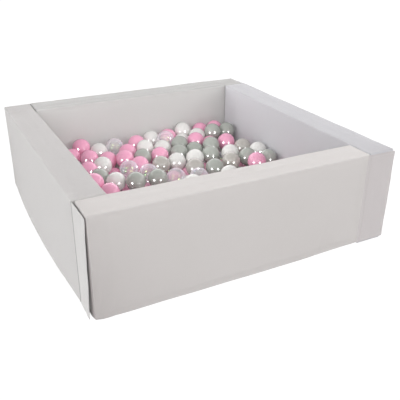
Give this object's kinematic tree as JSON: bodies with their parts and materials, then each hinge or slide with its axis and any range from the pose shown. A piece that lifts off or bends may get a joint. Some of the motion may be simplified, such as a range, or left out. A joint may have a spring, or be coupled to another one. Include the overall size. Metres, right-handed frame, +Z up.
{
  "type": "ball pit",
  "caption": "Square soft ball pit with foam walls in zipped fabric covers, corner flaps that fold, a floor mat and a heap of play balls.",
  "frame": {"origin": "middle of the square footprint, on the floor", "axes": "+Z up; -Y is the front wall, where the corner at the left opens; +X is the right wall"},
  "size_m": [1.02, 1.02, 0.325],
  "materials": {
    "cover_fabric": "matt light warm grey woven cover fabric",
    "foam": "open-cell upholstery foam",
    "zip_tape": "woven zip tape with a moulded chain",
    "zip_metal": "die-cast zip slider",
    "hook_loop": "hook and loop tape",
    "ball_fill": "mixed glossy play balls",
    "ball_pink": "baby pink, glossy",
    "ball_white": "pearl white, glossy",
    "ball_grey": "grey with a green cast, glossy",
    "ball_pearl": "warm pearl grey, glossy",
    "ball_clear": "clear with a pearly shimmer"
  },
  "bodies": {
    "base": {"back_wall_cover": "cover_fabric", "back_wall_foam": "foam", "back_wall_zip": "zip_tape", "back_right_flap": "cover_fabric", "back_right_flap_hook_strip": "hook_loop", "back_right_flap_loop_strip": "hook_loop", "mat_cover": "cover_fabric", "mat_foam": "foam", "mat_zip": "zip_tape", "ball_fill": "ball_fill"},
    "right_wall": {"right_wall_cover": "cover_fabric", "right_wall_foam": "foam", "right_wall_zip": "zip_tape", "front_right_flap": "cover_fabric", "front_right_flap_hook_strip": "hook_loop", "front_right_flap_loop_strip": "hook_loop"},
    "left_wall": {"left_wall_cover": "cover_fabric", "left_wall_foam": "foam", "left_wall_zip": "zip_tape", "back_left_flap": "cover_fabric", "back_left_flap_hook_strip": "hook_loop", "back_left_flap_loop_strip": "hook_loop"},
    "front_wall": {"front_wall_cover": "cover_fabric", "front_wall_foam": "foam", "front_wall_zip": "zip_tape", "closing_flap_loop_strip": "hook_loop"},
    "closing_flap": {"closing_flap": "cover_fabric", "closing_flap_hook_strip": "hook_loop"},
    "front_wall_zip_slider": {"front_wall_zip_slider": "zip_metal"},
    "right_wall_zip_slider": {"right_wall_zip_slider": "zip_metal"},
    "back_wall_zip_slider": {"back_wall_zip_slider": "zip_metal"},
    "left_wall_zip_slider": {"left_wall_zip_slider": "zip_metal"},
    "mat_zip_slider": {"mat_zip_slider": "zip_metal"},
    "ball_01": {"ball_01": "ball_pink"},
    "ball_02": {"ball_02": "ball_clear"},
    "ball_03": {"ball_03": "ball_pink"},
    "ball_04": {"ball_04": "ball_pink"},
    "ball_05": {"ball_05": "ball_pink"},
    "ball_06": {"ball_06": "ball_pink"},
    "ball_07": {"ball_07": "ball_pink"},
    "ball_08": {"ball_08": "ball_white"},
    "ball_09": {"ball_09": "ball_clear"},
    "ball_10": {"ball_10": "ball_grey"},
    "ball_11": {"ball_11": "ball_pearl"},
    "ball_12": {"ball_12": "ball_clear"},
    "ball_13": {"ball_13": "ball_white"},
    "ball_14": {"ball_14": "ball_grey"},
    "ball_15": {"ball_15": "ball_clear"},
    "ball_16": {"ball_16": "ball_pink"},
    "ball_17": {"ball_17": "ball_pink"},
    "ball_18": {"ball_18": "ball_white"},
    "ball_19": {"ball_19": "ball_pearl"}
  },
  "joints": [
    {"name": "back_left_corner", "type": "hinge", "parent": "base", "child": "left_wall", "pos_m": [-0.40436, 0.511, 0.15], "axis": [0, 0, -1], "range_deg": [0, 175]},
    {"name": "back_right_corner", "type": "hinge", "parent": "base", "child": "right_wall", "pos_m": [0.511, 0.40436, 0.15], "axis": [0, 0, 1], "range_deg": [0, 175]},
    {"name": "front_right_corner", "type": "hinge", "parent": "right_wall", "child": "front_wall", "pos_m": [0.40436, -0.511, 0.15], "axis": [0, 0, 1], "range_deg": [0, 175]},
    {"name": "closing_flap_fold", "type": "hinge", "parent": "left_wall", "child": "closing_flap", "pos_m": [-0.511, -0.40436, 0.15], "axis": [0, 0, -1], "range_deg": [0, 175]},
    {"name": "zip_front_wall", "type": "slide", "parent": "front_wall", "child": "front_wall_zip_slider", "axis": [1, 0, 0], "range_m": [0, 0.74]},
    {"name": "zip_right_wall", "type": "slide", "parent": "right_wall", "child": "right_wall_zip_slider", "axis": [0, 1, 0], "range_m": [0, 0.745]},
    {"name": "zip_back_wall", "type": "slide", "parent": "base", "child": "back_wall_zip_slider", "axis": [-1, 0, 0], "range_m": [0, 0.745]},
    {"name": "zip_left_wall", "type": "slide", "parent": "left_wall", "child": "left_wall_zip_slider", "axis": [0, -1, 0], "range_m": [0, 0.745]},
    {"name": "zip_mat", "type": "slide", "parent": "base", "child": "mat_zip_slider", "axis": [1, 0, 0], "range_m": [0, 0.65]},
    {"name": "lift_ball_01", "type": "slide", "parent": "base", "child": "ball_01", "axis": [0, 0, 1], "range_m": [0, 0.3]},
    {"name": "lift_ball_02", "type": "slide", "parent": "base", "child": "ball_02", "axis": [0, 0, 1], "range_m": [0, 0.3]},
    {"name": "lift_ball_03", "type": "slide", "parent": "base", "child": "ball_03", "axis": [0, 0, 1], "range_m": [0, 0.3]},
    {"name": "lift_ball_04", "type": "slide", "parent": "base", "child": "ball_04", "axis": [0, 0, 1], "range_m": [0, 0.3]},
    {"name": "lift_ball_05", "type": "slide", "parent": "base", "child": "ball_05", "axis": [0, 0, 1], "range_m": [0, 0.3]},
    {"name": "lift_ball_06", "type": "slide", "parent": "base", "child": "ball_06", "axis": [0, 0, 1], "range_m": [0, 0.3]},
    {"name": "lift_ball_07", "type": "slide", "parent": "base", "child": "ball_07", "axis": [0, 0, 1], "range_m": [0, 0.3]},
    {"name": "lift_ball_08", "type": "slide", "parent": "base", "child": "ball_08", "axis": [0, 0, 1], "range_m": [0, 0.3]},
    {"name": "lift_ball_09", "type": "slide", "parent": "base", "child": "ball_09", "axis": [0, 0, 1], "range_m": [0, 0.3]},
    {"name": "lift_ball_10", "type": "slide", "parent": "base", "child": "ball_10", "axis": [0, 0, 1], "range_m": [0, 0.3]},
    {"name": "lift_ball_11", "type": "slide", "parent": "base", "child": "ball_11", "axis": [0, 0, 1], "range_m": [0, 0.3]},
    {"name": "lift_ball_12", "type": "slide", "parent": "base", "child": "ball_12", "axis": [0, 0, 1], "range_m": [0, 0.3]},
    {"name": "lift_ball_13", "type": "slide", "parent": "base", "child": "ball_13", "axis": [0, 0, 1], "range_m": [0, 0.3]},
    {"name": "lift_ball_14", "type": "slide", "parent": "base", "child": "ball_14", "axis": [0, 0, 1], "range_m": [0, 0.3]},
    {"name": "lift_ball_15", "type": "slide", "parent": "base", "child": "ball_15", "axis": [0, 0, 1], "range_m": [0, 0.3]},
    {"name": "lift_ball_16", "type": "slide", "parent": "base", "child": "ball_16", "axis": [0, 0, 1], "range_m": [0, 0.3]},
    {"name": "lift_ball_17", "type": "slide", "parent": "base", "child": "ball_17", "axis": [0, 0, 1], "range_m": [0, 0.3]},
    {"name": "lift_ball_18", "type": "slide", "parent": "base", "child": "ball_18", "axis": [0, 0, 1], "range_m": [0, 0.3]},
    {"name": "lift_ball_19", "type": "slide", "parent": "base", "child": "ball_19", "axis": [0, 0, 1], "range_m": [0, 0.3]}
  ]
}
